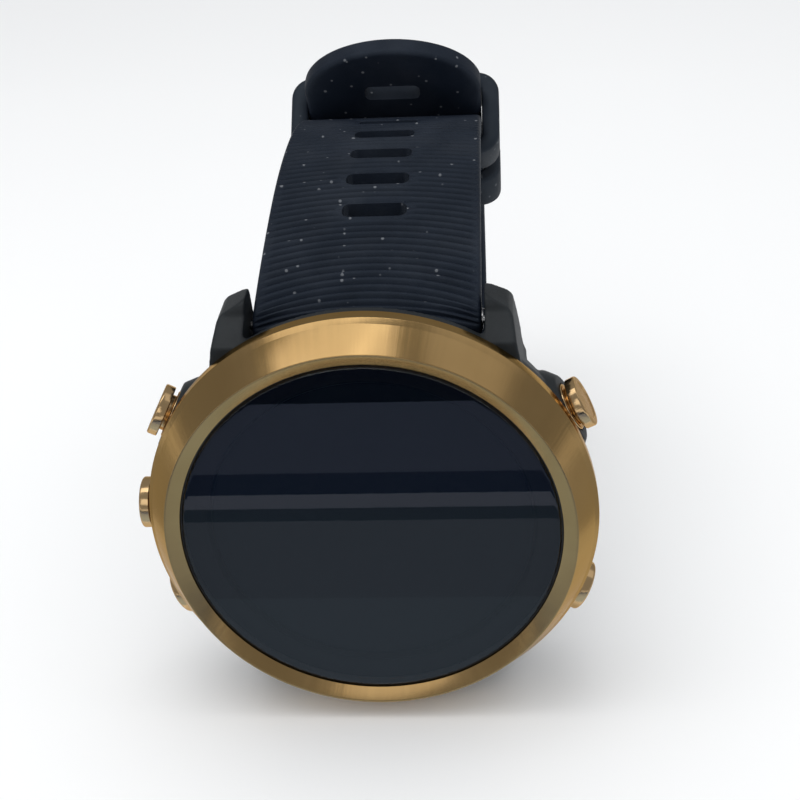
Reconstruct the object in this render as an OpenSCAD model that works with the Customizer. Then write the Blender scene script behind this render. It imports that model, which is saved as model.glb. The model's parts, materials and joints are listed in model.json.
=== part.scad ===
// GPS running watch on a buckled silicone strap, in millimetres.
// The lens faces -Y, 12 o'clock points to +Z and 3 o'clock to +X.
// The origin is the centre of the lens's outer face.
// Most parts are drawn lying face up: local x to 3 o'clock, local y to 12 o'clock,
// local z out of the dial. face_front() then stands them up.
// The strap lies in the plane of local y and of depth d, which is measured back from the lens.

/* [Bezel and lens] */
// Outer diameter of the metal bezel
bezel_d = 42.6; // [40:0.2:46]
// Diameter of the opening that shows the lens
opening_d = 35.8; // [34:0.2:36]
// Height of the bezel's crest above the lens
crest_h = 0.75; // [0.3:0.05:1.2]
// Radius of the bezel's crest, between the inner dish and the outer cone
crest_r = 19.1; // [18.6:0.1:19.6]
// Drop from the lens to the cone's outer edge
cone_drop = 2.5; // [2:0.1:3]
// Depth of the bezel's lower face behind the lens
bezel_depth = 4.0; // [3.6:0.1:4.2]
// Thickness of the lens
lens_t = 1.3; // [0.8:0.1:1.4]
// Diameter of the visible pixels
display_d = 30.4; // [28:0.2:31]

/* [Case] */
// Radius of the case's side under the bezel
case_r = 20.9; // [20:0.1:21]
// Depth of the case's rear face behind the lens
case_depth = 11.8; // [11.5:0.1:12.5]
// Radius of the round cavity for the electronics
cavity_r = 15.4; // [15:0.1:16]
// Half width of the cavity towards 12 and 6 o'clock
cavity_y = 13.8; // [13:0.1:14]
// Thickness of the back cover's flat
back_t = 0.8; // [0.6:0.1:1]
// Height of the sensor hump over the back cover
hump_h = 0.9; // [0.5:0.1:1.2]

/* [Lugs and spring bars] */
// Clear width between the lugs
lug_gap = 22.0; // [21.8:0.1:22.4]
// Distance from the dial's centre to a lug's tip
lug_tip_y = 20.7; // [20.5:0.1:22]
// Distance from the dial's centre to a spring bar's axis
bar_y = 16.9; // [16.7:0.1:17.2]
// Depth of a spring bar's axis behind the lens
bar_d = 10.6; // [10.2:0.1:10.8]
// Radius of a spring bar's tube
bar_tube_r = 0.9; // [0.75:0.05:0.95]
// Radius of a spring bar's end pins
bar_pin_r = 0.4; // [0.35:0.05:0.45]
// How far a quick-release pin slides in
release_travel = 1.2; // [0.8:0.1:1.3]

/* [Buttons] */
// Angle of the upper and lower buttons above and below the horizontal
button_angle = 27.5; // [25:0.5:30]
// Depth of the buttons' axes behind the lens
button_depth = 6.4; // [6:0.1:7]
// Distance from the dial's centre to a button's outer face
button_face_r = 22.7; // [22.3:0.1:23]
// Diameter of a button's head
button_head_d = 5.0; // [4.4:0.1:5.2]
// Travel of a button
button_travel = 0.35; // [0.2:0.05:0.4]

/* [Strap] */
// Strap width at the lugs
strap_w = 21.4; // [20:0.1:21.6]
// Strap width at the back of the loop
strap_back_w = 20.4; // [19:0.1:21]
// Thickness of each strap half
strap_t = 2.4; // [2:0.1:2.6]
// Radius of the sleeve around a spring bar
sleeve_r = 2.0; // [1.8:0.05:2.1]
// Distance between two adjustment slots
slot_pitch = 5.8; // [5:0.1:7]
// Width of a slot across the strap
slot_w = 6.5; // [5:0.1:8]
// Length of a slot along the strap
slot_l = 2.2; // [1.8:0.1:2.4]
// Length of the free tip beyond the closure
tip_l = 15.6; // [12:0.5:18]

/* [Keepers and buckle] */
// Outer width of the keepers
keeper_w = 24.8; // [24:0.1:25]
// Length of the free keeper along the strap
keeper_free_l = 5.0; // [4:0.1:5.2]
// Length of the fixed keeper along the strap
keeper_fixed_l = 4.5; // [4:0.1:4.8]
// Inner width of the buckle frame
frame_inner_w = 21.2; // [21:0.1:21.6]
// Diameter of the buckle frame's wire
frame_wire_d = 2.0; // [1.6:0.1:2.2]

/* [Hidden] */

$fn = 96;
EPS = 0.01; // how far a cutter runs past a face
bezel_r = bezel_d / 2;
opening_r = opening_d / 2;
ledge_r = opening_r - 1.1; // the step that carries the lens
gasket_t = 0.15;
fit_gap = 0.05; // radial running clearance of moving pins
bar_reach = 1.2; // how far a spring bar's pins go into the lugs

// Electronics, by depth behind the lens
display_t = 1.4;
display_top = lens_t + 0.65;
tray_r = ledge_r - 0.1;
board_r = 13.2;
board_top = 5.0;
board_t = 0.8;
battery_size = [16, 15, 3.6];
battery_x = -2.2;
sensor_board_r = 6.6;
window_r = 6.0;
screw_xy = [11.7, 11.7];
screw_r = 0.5;
screw_head_r = 0.95;
screw_head_t = 0.44;
belly_r = 17.8; // radius of the case's rear face and of the back cover

// Buttons: clock position and angle from 3 o'clock
BUTTON_ANGLES = [button_angle, -button_angle, 180 + button_angle, 180, 180 - button_angle];
head_t = 0.9;
neck_r = 1.75;
stem_r = 0.8;
bushing_r = 2.3;
bushing_face_r = 21.3;
bushing_seat_r = 19.6;
stem_end_r = 14.75;
clip_t = 0.3;
switch_face_r = stem_end_r - button_travel - 0.05;
vent_at = [18.6, -6.5, -9.2]; // the pressure sensor's air passage, and its turn about z
vent_turn = -19;
guard_r = 4.3; // half width of the case's swelling around a button
guard_slope = 1.1; // bevel of the swelling's edge

// Strap path. A direction th of 0 points to 12 o'clock and 90 straight back.
// The outward normal of the strap's outer face is then [sin(th), -cos(th)] in [y, d].
upper_th = 69.2;
bend_r = 13; // tight turn at the top of the loop's back
bend_end = 150;
closure_r = 34; // the stretch where both halves lie on each other
layer_gap = 0.15;
lower_back_r = 10;
free_keeper_th = 136;
fixed_keeper_th = 158.5;
buckle_th = 190;
buckle_pin_inset = 2.1; // from the short half's outer face to the pin's axis
buckle_pin_r = 0.75;
frame_turn = 16; // how far round the loop the frame reaches
frame_bar_out = 1.35; // from the long half's outer face to the frame bar's axis
tongue_slot_th = buckle_th + 9.5;
tongue_w = 2.2;
tongue_t = 1.0;
keeper_inner_wall = 1.5;
keeper_outer_wall = 1.7;
keeper_side_gap = 0.35;

function normal(th) = [sin(th), -cos(th)];
function along(th) = [cos(th), sin(th)];
function arc(c, r, a0, a1, n) = [for (i = [0 : n]) c + r * normal(a0 + (a1 - a0) * i / n)];
function turn(len, r) = len / r * 180 / PI;
function reversed(list) = [for (i = [len(list) - 1 : -1 : 0]) list[i]];
// Local [y, d] to the [y, z] of a drawing that lies face up
function up(list) = [for (p = list) [p[0], -p[1]]];

// Upper, short half: gentle arcs as [radius, length], then the bend and the closure
UPPER = [[125, 15.5], [65, 16], [36, 12]];
bar_up = [bar_y, bar_d];
foot = bar_up + sleeve_r * normal(upper_th);
th_1 = upper_th + turn(UPPER[0][1], UPPER[0][0]);
th_2 = th_1 + turn(UPPER[1][1], UPPER[1][0]);
th_3 = th_2 + turn(UPPER[2][1], UPPER[2][0]);
c_1 = foot - UPPER[0][0] * normal(upper_th);
c_2 = c_1 + (UPPER[0][0] - UPPER[1][0]) * normal(th_1);
c_3 = c_2 + (UPPER[1][0] - UPPER[2][0]) * normal(th_2);
c_bend = c_3 + (UPPER[2][0] - bend_r) * normal(th_3);
c_closure = c_bend + (bend_r - closure_r) * normal(bend_end);

// Lower, long half: it leaves the closure, turns under and runs flat to the lower bar
bar_low = [-bar_y, bar_d];
long_inner_r = closure_r + layer_gap;
long_outer_r = long_inner_r + strap_t;
c_low_y = lower_back_r - bezel_r;
c_low_d = c_closure[1]
    + sqrt(pow(long_outer_r - lower_back_r, 2) - pow(c_closure[0] - c_low_y, 2));
c_low = [c_low_y, c_low_d];
low_n = (c_low - c_closure) / norm(c_low - c_closure);
th_join = atan2(low_n[0], -low_n[1]) + 360;
bar_rise = bezel_r - bar_y;
under_r = (pow(c_low_d - bar_d, 2) + pow(bar_rise, 2) - pow(sleeve_r, 2))
    / (2 * (bar_rise - sleeve_r));
c_under = [under_r - bezel_r, c_low_d];
under_n = (bar_low - c_under) / norm(bar_low - c_under);
th_under = atan2(under_n[0], -under_n[1]) + 360;

tip_root = c_closure + long_inner_r * normal(bend_end);
pin_at = c_closure + (closure_r - buckle_pin_inset) * normal(buckle_th);
frame_th = buckle_th + frame_turn;
frame_bar_at = c_closure + (long_outer_r + frame_bar_out) * normal(frame_th);

module face_front() { rotate([90, 0, 0]) children(); }

// Draws [y, z] outlines and extrudes them along x, centred
module across(w) { rotate([90, 0, 90]) translate([0, 0, -w / 2]) linear_extrude(w) children(); }

// Lies along the radius at an angle, at the buttons' depth; z runs outward
module radial(a) { rotate([0, 0, a]) translate([0, 0, -button_depth]) rotate([0, 90, 0]) children(); }

module ring(ro, ri, z0, z1) {
    translate([0, 0, z0]) difference() {
        cylinder(r = ro, h = z1 - z0);
        translate([0, 0, -EPS]) cylinder(r = ri, h = z1 - z0 + 2 * EPS);
    }
}

// ---- Case ----
module lug_side() {
    tip_top = 7.4;
    tip_low = 11.6;
    corner = 1.3;
    end = lug_tip_y - corner;
    polygon(up(concat(
        [[13, 4.3], [17.6, 4.3]],
        [for (a = [0 : 15 : 90]) [end + corner * sin(a), tip_top + corner - corner * cos(a)]],
        [for (a = [0 : 15 : 75]) [end + corner * cos(a), tip_low - corner + corner * sin(a)]],
        [[17, case_depth + 0.6], [14.8, case_depth + 0.6]],
        [[14.8, case_depth - 0.2], [13, case_depth - 0.2]]
    )));
}

module lug_pair() {
    for (side = [-1, 1]) intersection() {
        translate([side * (lug_gap / 2 + 2.5), 0, 0]) across(5) lug_side();
        translate([0, 0, -20]) linear_extrude(20) polygon([
            [side * lug_gap / 2, 11], [side * 16, 11], [side * 16, 11.5], [side * 15, 12.7],
            [side * 14.5, 14], [side * 13.8, 18], [side * 13.6, lug_tip_y - 1.7],
            [side * 13.2, lug_tip_y - 1.2], [side * lug_gap / 2, lug_tip_y]
        ]);
    }
}

module case_body() {
    rotate_extrude($fn = 128) polygon([
        [0, -case_depth], [belly_r, -case_depth], [19.1, -case_depth + 0.9], [20.3, -8.2],
        [case_r, -5.6], [case_r, -bezel_depth], [0, -bezel_depth]
    ]);
    for (m = [0, 1]) mirror([0, m, 0]) lug_pair();
    for (a = BUTTON_ANGLES) intersection() {
        radial(a) {
            cylinder(r = guard_r, h = bushing_face_r - guard_slope);
            translate([0, 0, bushing_face_r - guard_slope])
                cylinder(r1 = guard_r, r2 = guard_r - guard_slope, h = guard_slope - 0.05);
        }
        translate([0, 0, -case_depth + 1]) cylinder(r = 30, h = case_depth - 1 - bezel_depth);
    }
}

module cavity() {
    depth = case_depth - bezel_depth;
    intersection() {
        translate([0, 0, -case_depth - EPS]) cylinder(r = cavity_r, h = depth + 2 * EPS);
        translate([-20, -cavity_y, -20]) cube([40, 2 * cavity_y, 20]);
    }
}

// Outline of the cavity, grown by g
module seal_line(g) {
    intersection() {
        circle(r = cavity_r + g);
        square(2 * [cavity_r + g, cavity_y + g], center = true);
    }
}

// Ring that follows the cavity's outline
module seal_ring(w, h) {
    inset = 0.12;
    linear_extrude(h) difference() {
        seal_line(inset + w);
        seal_line(inset);
    }
}

module strap_pockets() {
    face = bar_y - sleeve_r - 0.3;
    for (m = [0, 1]) mirror([0, m, 0])
        translate([-lug_gap / 2, face, -20]) cube([lug_gap, 12, 20 - 5.6]);
}

module mid_case() {
    color([0.09, 0.1, 0.12]) face_front() difference() {
        case_body();
        cavity();
        strap_pockets();
        for (m = [0, 1]) mirror([0, m, 0]) translate([-lug_gap / 2 - bar_reach - 0.2, bar_y, -bar_d])
            rotate([0, 90, 0])
                cylinder(r = bar_pin_r + fit_gap, h = lug_gap + 2 * bar_reach + 0.4, $fn = 32);
        for (a = BUTTON_ANGLES) radial(a) {
            translate([0, 0, 12]) cylinder(r = stem_r + fit_gap, h = 12, $fn = 48);
            translate([0, 0, bushing_seat_r]) cylinder(r = bushing_r, h = 4, $fn = 64);
            translate([0, 0, bushing_seat_r - 0.8]) cylinder(r = stem_r + 0.6, h = 1, $fn = 48);
        }
        for (x = [-1, 1], y = [-1, 1])
            translate([x * screw_xy[0], y * screw_xy[1], -case_depth - EPS])
                cylinder(r = screw_r, h = 3, $fn = 32);
        translate(vent_at) rotate([0, 90, vent_turn]) cylinder(r = 0.9, h = 6, $fn = 32);
        translate([0, 0, -case_depth - EPS]) seal_ring(0.42, 0.5);
    }
}

module bezel() {
    inner_low = 2.1;
    color([0.78, 0.6, 0.36]) face_front() rotate_extrude($fn = 160) polygon([
        [opening_r, 0], [crest_r - 0.15, crest_h - 0.04], [crest_r + 0.2, crest_h],
        [bezel_r - 0.5, -cone_drop + 0.45], [bezel_r - 0.12, -cone_drop + 0.12],
        [bezel_r, -cone_drop - 0.3], [bezel_r, -bezel_depth + 0.3], [bezel_r - 0.3, -bezel_depth],
        [18.4, -bezel_depth], [18.4, -inner_low], [ledge_r, -inner_low], [ledge_r, -lens_t],
        [opening_r, -lens_t]
    ]);
}

module lens() {
    chamfer = 0.2;
    r = opening_r - gasket_t;
    color([0.03, 0.03, 0.05]) face_front() rotate_extrude($fn = 160) polygon([
        [0, 0], [r - chamfer, 0], [r, -chamfer], [r, -lens_t], [0, -lens_t]
    ]);
}

module lens_gasket() {
    color([0.05, 0.05, 0.05]) face_front()
        ring(opening_r, opening_r - gasket_t, -lens_t, -0.25, $fn = 160);
}

module dial_ring() {
    color([0.03, 0.03, 0.04]) face_front()
        ring(ledge_r - 0.05, display_d / 2, -display_top + 0.02, -lens_t - 0.02);
}

module display_panel() {
    color([0.06, 0.07, 0.07]) face_front()
        translate([0, 0, -display_top - display_t]) cylinder(r = display_d / 2 + 0.2, h = display_t);
}

module display_tray() {
    low = display_top + display_t + 0.5;
    color([0.2, 0.2, 0.22]) face_front() {
        ring(tray_r, display_d / 2 + 0.3, -low, -display_top - 0.05);
        difference() {
            translate([0, 0, -low]) cylinder(r = display_d / 2 + 0.3, h = 0.4);
            translate([-8, -cavity_y + 1, -low - 1]) cube([16, 3, 3]);
        }
    }
}

module antenna_ring() {
    color([0.75, 0.76, 0.78]) face_front() ring(18.3, 17.5, -bezel_depth + 0.1, -2.3);
}

module circuit_board() {
    color([0.05, 0.25, 0.12]) face_front() difference() {
        translate([0, 0, -board_top - board_t]) cylinder(r = board_r, h = board_t);
        translate([-7, -board_r - 1, -board_top - 2]) cube([14, 2, 4]);
    }
}

module processor_shield() {
    h = 0.75;
    color([0.75, 0.76, 0.78]) face_front() {
        translate([-7.5, -1, -board_top]) cube([9, 8, h - 0.2]);
        translate([3, -4, -board_top]) cube([6, 7, h - 0.2]);
    }
}

module battery() {
    color([0.55, 0.57, 0.6]) face_front()
        translate([battery_x, 0, -board_top - board_t - 0.2 - battery_size[2] / 2])
            translate(-battery_size / 2) cube(battery_size);
}

module vibration_motor() {
    color([0.8, 0.8, 0.82]) face_front()
        translate([10.4, 0, -board_top - board_t - 0.1 - 2.7]) cylinder(r = 3.4, h = 2.7, $fn = 64);
}

// Ribbon that leaves the display at 6 o'clock and folds down to the circuit board
module display_flex() {
    w = 9;
    t = 0.15;
    y = -board_r + 0.6;
    color([0.75, 0.45, 0.12]) face_front() {
        translate([-w / 2, y, -board_top]) cube([w, 3, t]);
        translate([-w / 2, y, -board_top]) cube([w, t, board_top - display_top - display_t]);
    }
}

module dome_switches() {
    color([0.7, 0.7, 0.72]) face_front() for (a = BUTTON_ANGLES) radial(a) {
        translate([-1.4, -1.6, switch_face_r - 0.75]) cube([2.8, 3.2, 0.4]);
        translate([0, 0, switch_face_r - 0.35]) cylinder(r = 1.1, h = 0.35, $fn = 48);
    }
}

module button_bushings() {
    color([0.78, 0.6, 0.36]) face_front() for (a = BUTTON_ANGLES) radial(a) difference() {
        translate([0, 0, bushing_seat_r])
            cylinder(r = bushing_r, h = bushing_face_r - bushing_seat_r, $fn = 64);
        translate([0, 0, bushing_seat_r - 1]) cylinder(r = neck_r + fit_gap, h = 4, $fn = 64);
    }
}

module button_seals() {
    color([0.05, 0.05, 0.05]) face_front() for (a = BUTTON_ANGLES) radial(a) difference() {
        translate([0, 0, bushing_seat_r - 0.75]) cylinder(r = stem_r + 0.55, h = 0.7, $fn = 48);
        translate([0, 0, bushing_seat_r - 1]) cylinder(r = stem_r + 0.02, h = 2, $fn = 48);
    }
}

// ---- Back ----
module back_cover() {
    flat = bar_y - sleeve_r - 0.3;
    color([0.08, 0.08, 0.1]) face_front() difference() {
        union() {
            intersection() {
                translate([0, 0, -case_depth - back_t]) cylinder(r = belly_r, h = back_t);
                translate([-20, -flat, -20]) cube([40, 2 * flat, 20]);
            }
            translate([0, 0, -case_depth - back_t - hump_h]) cylinder(r1 = 8.4, r2 = 10.6, h = hump_h);
        }
        translate([0, 0, -case_depth - back_t - hump_h - EPS]) cylinder(r = window_r, h = 5);
        translate([0, 0, -case_depth - back_t + 0.2]) cylinder(r = sensor_board_r + 0.2, h = 5);
        for (x = [-1, 1], y = [-1, 1]) translate([x * screw_xy[0], y * screw_xy[1], 0]) {
            translate([0, 0, -15]) cylinder(r = screw_r + 0.1, h = 5, $fn = 32);
            translate([0, 0, -case_depth - back_t - EPS])
                cylinder(r = screw_head_r + 0.1, h = screw_head_t, $fn = 32);
        }
        for (i = [-1.5 : 1 : 1.5]) translate([i * 2.2, -12.2, -15]) cylinder(r = 0.6, h = 5, $fn = 32);
    }
}

module case_gasket() {
    color([0.55, 0.1, 0.08]) face_front() translate([0, 0, -case_depth + 0.01]) seal_ring(0.4, 0.46);
}

module sensor_window() {
    low = case_depth + back_t + hump_h;
    color([0.05, 0.05, 0.06]) face_front() translate([0, 0, -low]) cylinder(r = window_r, h = 0.7);
}

module sensor_board() {
    color([0.05, 0.25, 0.12]) face_front()
        translate([0, 0, -case_depth - back_t + 0.25]) cylinder(r = sensor_board_r, h = 0.5);
}

module sensor_leds() {
    low = -case_depth - back_t - 0.15;
    color([0.2, 0.8, 0.35]) face_front() {
        for (x = [-3, 3]) translate([x - 0.8, -0.6, low]) cube([1.6, 1.2, 0.4]);
        translate([-1.3, -1.3, low]) cube([2.6, 2.6, 0.4]);
    }
}

module charging_contacts() {
    color([0.83, 0.68, 0.36]) face_front() for (i = [-1.5 : 1 : 1.5])
        translate([i * 2.2, -12.2, -case_depth - back_t]) cylinder(r = 0.6, h = 1.4, $fn = 32);
}

module back_screws() {
    color([0.7, 0.7, 0.72]) face_front() for (x = [-1, 1], y = [-1, 1])
        translate([x * screw_xy[0], y * screw_xy[1], -case_depth - back_t]) difference() {
            union() {
                cylinder(r = screw_head_r, h = screw_head_t - 0.02, $fn = 48);
                cylinder(r = screw_r, h = 3.2, $fn = 32);
            }
            translate([0, 0, -EPS]) cylinder(r = 0.45, h = 0.3, $fn = 6);
        }
}

// Small mesh disc over the air passage of the pressure sensor, low on the case's right side
module pressure_vent() {
    color([0.3, 0.3, 0.32]) face_front() translate(vent_at)
        rotate([0, 90, vent_turn]) cylinder(r = 0.88, h = 0.4, $fn = 32);
}

// ---- Buttons ----
module button(i) {
    head = button_face_r - head_t;
    color([0.78, 0.6, 0.36]) face_front() radial(BUTTON_ANGLES[i]) rotate_extrude($fn = 64) polygon([
        [0, stem_end_r], [stem_r, stem_end_r], [stem_r, 20.3], [neck_r, 20.3], [neck_r, head],
        [button_head_d / 2, head], [button_head_d / 2, button_face_r - 0.25],
        [button_head_d / 2 - 0.25, button_face_r], [0, button_face_r]
    ]);
}

// Retaining ring on a button's stem, against the cavity's wall
module clip(i) {
    color([0.7, 0.7, 0.72]) face_front() radial(BUTTON_ANGLES[i])
        ring(1.5, stem_r, stem_end_r + 0.1, stem_end_r + 0.1 + clip_t, $fn = 48);
}

module button_2h() { button(0); }
module button_4h() { button(1); }
module button_8h() { button(2); }
module button_9h() { button(3); }
module button_10h() { button(4); }
module clip_2h() { clip(0); }
module clip_4h() { clip(1); }
module clip_8h() { clip(2); }
module clip_9h() { clip(3); }
module clip_10h() { clip(4); }

// ---- Spring bars with quick release ----
bar_l = lug_gap - 0.4;
release_depth = 7; // length of the bore that the release pin slides in
lever_x = -bar_l / 2 + 3; // the lever, at rest

module bar_axis(side) { translate([0, side * bar_y, -bar_d]) rotate([0, 90, 0]) children(); }

module spring_bar(side) {
    color([0.75, 0.76, 0.78]) face_front() bar_axis(side) difference() {
        union() {
            translate([0, 0, -bar_l / 2]) cylinder(r = bar_tube_r, h = bar_l, $fn = 48);
            cylinder(r = bar_pin_r, h = lug_gap / 2 + bar_reach, $fn = 32);
        }
        translate([0, 0, -bar_l / 2 - EPS]) cylinder(r = bar_pin_r + fit_gap, h = release_depth, $fn = 32);
        translate([0, -0.5, lever_x - 0.5]) cube([2, 1, release_travel + 1]);
    }
}

// Pin and lever. It slides towards the middle of the strap to free the lug.
module release_pin(side) {
    color([0.75, 0.76, 0.78]) face_front() bar_axis(side) {
        translate([0, 0, -lug_gap / 2 - bar_reach]) cylinder(r = bar_pin_r, h = 5, $fn = 32);
        translate([0, 0, lever_x]) rotate([0, 90, 0]) cylinder(r = bar_pin_r, h = 2.2, $fn = 32);
    }
}

module spring_bar_upper() { spring_bar(1); }
module spring_bar_lower() { spring_bar(-1); }
module release_pin_upper() { release_pin(1); }
module release_pin_lower() { release_pin(-1); }

// ---- Strap ----
// Trims a strap to its taper, seen from 12 o'clock
module taper() {
    back = c_closure[1] + long_outer_r;
    rotate([-90, 0, 0]) translate([0, 0, -40]) linear_extrude(80) polygon([
        [-strap_w / 2, 0], [-strap_w / 2, bar_d], [-strap_back_w / 2, back], [-strap_back_w / 2, back + 5],
        [strap_back_w / 2, back + 5], [strap_back_w / 2, back], [strap_w / 2, bar_d], [strap_w / 2, 0]
    ]);
}

// Recess on the wrist side that uncovers a release lever
module lever_recess(side) {
    bar_axis(side) translate([0, -0.7, lever_x - 0.8]) cube([4, 1.4, release_travel + 1.6]);
}

function upper_face(off) = concat(
    arc(c_1, UPPER[0][0] + off, upper_th, th_1, 5),
    arc(c_2, UPPER[1][0] + off, th_1, th_2, 5),
    arc(c_3, UPPER[2][0] + off, th_2, th_3, 5),
    arc(c_bend, bend_r + off, th_3, bend_end, 8),
    arc(c_closure, closure_r + off, bend_end, buckle_th, 11)
);
function long_face(off) = concat(
    [tip_root + tip_l * -along(bend_end) + (strap_t + off) * normal(bend_end)],
    arc(c_closure, long_outer_r + off, bend_end, th_join, 15),
    arc(c_low, lower_back_r + off, th_join, 270, 12),
    arc(c_under, under_r + off, 270, th_under, 4)
);

// A slot's cutter at a point of the outer face
module slot_at(p, th) {
    translate([0, p[0], -p[1]]) rotate([90 - th, 0, 0]) cube([slot_w, 3 * strap_t, slot_l], center = true);
}

// Centres of the slots, as [point, direction]
first_slot_at = 14.6; // from the sleeve's tangent point
function slot_on(c, th0, r, s) = let(th = th0 + turn(s, r)) [c + r * normal(th), th];
function upper_at(s) =
    s < UPPER[0][1] ? slot_on(c_1, upper_th, UPPER[0][0], s)
    : s < UPPER[0][1] + UPPER[1][1] ? slot_on(c_2, th_1, UPPER[1][0], s - UPPER[0][1])
    : slot_on(c_3, th_2, UPPER[2][0], s - UPPER[0][1] - UPPER[1][1]);
UPPER_SLOTS = [for (i = [0 : 4]) upper_at(first_slot_at + slot_pitch * i)];
// Lengths along the long half's outer face from its tip, to the low turn and to the tongue's slot
join_at = tip_l + (th_join - bend_end) * PI / 180 * long_outer_r;
tongue_slot_at = tip_l + (tongue_slot_th - bend_end) * PI / 180 * long_outer_r;
function long_at(s) =
    s < tip_l ? [tip_root + strap_t * normal(bend_end) - (tip_l - s) * along(bend_end), bend_end]
    : s < join_at ? slot_on(c_closure, bend_end, long_outer_r, s - tip_l)
    : slot_on(c_low, th_join, lower_back_r, s - join_at);
LONG_SLOTS = [for (i = [-7 : 1]) long_at(tongue_slot_at + slot_pitch * i)];

module strap_short() {
    color([0.06, 0.08, 0.12]) face_front() difference() {
        intersection() {
            union() {
                across(strap_w) polygon(up(concat(upper_face(0), reversed(upper_face(-strap_t)))));
                bar_axis(1) translate([0, 0, -strap_w / 2]) cylinder(r = sleeve_r, h = strap_w);
                translate([-strap_w / 2, pin_at[0], -pin_at[1]]) rotate([0, 90, 0])
                    cylinder(r = buckle_pin_inset - 0.05, h = strap_w, $fn = 64);
            }
            taper();
        }
        bar_axis(1) translate([0, 0, -15]) cylinder(r = bar_tube_r, h = 30, $fn = 48);
        lever_recess(1);
        translate([-15, pin_at[0], -pin_at[1]]) rotate([0, 90, 0])
            cylinder(r = buckle_pin_r, h = 30, $fn = 48);
        translate([0, pin_at[0], -pin_at[1]]) rotate([90 - buckle_th, 0, 0])
            cube([tongue_w + 0.8, 8, 6.4], center = true);
        for (s = UPPER_SLOTS) slot_at(s[0], s[1]);
    }
}

// Rounded end of the long half, seen square to its face
module tip_trim() {
    end = tip_root - tip_l * along(bend_end);
    round_l = 7;
    half = strap_w / 2 + 1;
    translate([0, end[0], -end[1]]) rotate([180 - bend_end, 0, 0]) translate([0, 0, -10]) linear_extrude(20)
        polygon(concat(
            [for (a = [0 : 7.5 : 180]) [-(strap_w / 2 - 0.3) * cos(a), -round_l + round_l * sin(a)]],
            [[half, -round_l], [half, 3], [-half, 3], [-half, -round_l]]
        ));
}

module strap_long() {
    color([0.06, 0.08, 0.12]) face_front() difference() {
        intersection() {
            union() {
                across(strap_w) polygon(up(concat(long_face(0), reversed(long_face(-strap_t)))));
                bar_axis(-1) translate([0, 0, -strap_w / 2]) cylinder(r = sleeve_r, h = strap_w);
            }
            taper();
        }
        bar_axis(-1) translate([0, 0, -15]) cylinder(r = bar_tube_r, h = 30, $fn = 48);
        lever_recess(-1);
        for (s = LONG_SLOTS) slot_at(s[0], s[1]);
        tip_trim();
    }
}

// ---- Keepers ----
CORNERS = [[1, 1, 0], [-1, 1, 90], [-1, -1, 180], [1, -1, 270]]; // two sides and the arc's start

// Rounded ring around both halves. Its opening reaches from inner to outer, both measured
// from the short half's outer face.
module keeper(p, th, l, inner, outer) {
    corner = 2.6;
    wall = (keeper_w - strap_back_w) / 2 - keeper_side_gap;
    x0 = keeper_w / 2;
    mid = (inner - keeper_inner_wall + outer + keeper_outer_wall) / 2;
    hx = x0 - corner;
    hy = (outer + keeper_outer_wall - inner + keeper_inner_wall) / 2 - corner;
    translate([0, p[0], -p[1]]) rotate([90 - th, 0, 0]) translate([0, 0, -l / 2]) linear_extrude(l)
        difference() {
            polygon([for (c = CORNERS, a = [0 : 15 : 90])
                [c[0] * hx + corner * cos(c[2] + a), mid + c[1] * hy + corner * sin(c[2] + a)]]);
            translate([-x0 + wall, inner]) square([keeper_w - 2 * wall, outer - inner]);
        }
}

module keeper_free() {
    p = c_bend + bend_r * normal(free_keeper_th);
    color([0.07, 0.09, 0.12]) face_front()
        keeper(p, free_keeper_th, keeper_free_l, -strap_t - 0.55, 4.5);
}

module keeper_fixed() {
    p = c_closure + closure_r * normal(fixed_keeper_th);
    color([0.07, 0.09, 0.12]) face_front()
        keeper(p, fixed_keeper_th, keeper_fixed_l, -strap_t - 0.1, strap_t + layer_gap + 0.35);
}

// ---- Buckle ----
module buckle_pin() {
    color([0.75, 0.76, 0.78]) face_front() translate([0, pin_at[0], -pin_at[1]]) rotate([0, 90, 0])
        translate([0, 0, -frame_inner_w / 2 - 1.6])
            cylinder(r = buckle_pin_r, h = frame_inner_w + 3.2, $fn = 48);
}

module buckle_frame() {
    reach = frame_bar_at - pin_at;
    rail_l = norm(reach);
    lean = atan2(reach[1], reach[0]);
    rail_w = 1.7;
    rail_t = frame_wire_d - 0.3;
    eye_r = 1.5;
    color([0.78, 0.6, 0.36]) face_front() {
        difference() {
            for (side = [-1, 1]) translate([side * (frame_inner_w + rail_w) / 2, pin_at[0], -pin_at[1]]) {
                rotate([0, 90, 0]) translate([0, 0, -rail_w / 2]) cylinder(r = eye_r, h = rail_w, $fn = 48);
                rotate([-lean, 0, 0]) translate([-rail_w / 2, 0, -rail_t / 2])
                    cube([rail_w, rail_l, rail_t]);
            }
            translate([-15, pin_at[0], -pin_at[1]]) rotate([0, 90, 0])
                cylinder(r = buckle_pin_r + fit_gap, h = 30, $fn = 48);
        }
        translate([0, frame_bar_at[0], -frame_bar_at[1]]) rotate([0, 90, 0])
            translate([0, 0, -frame_inner_w / 2 - rail_w])
                cylinder(r = frame_wire_d / 2, h = frame_inner_w + 2 * rail_w, $fn = 48);
    }
}

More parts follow.
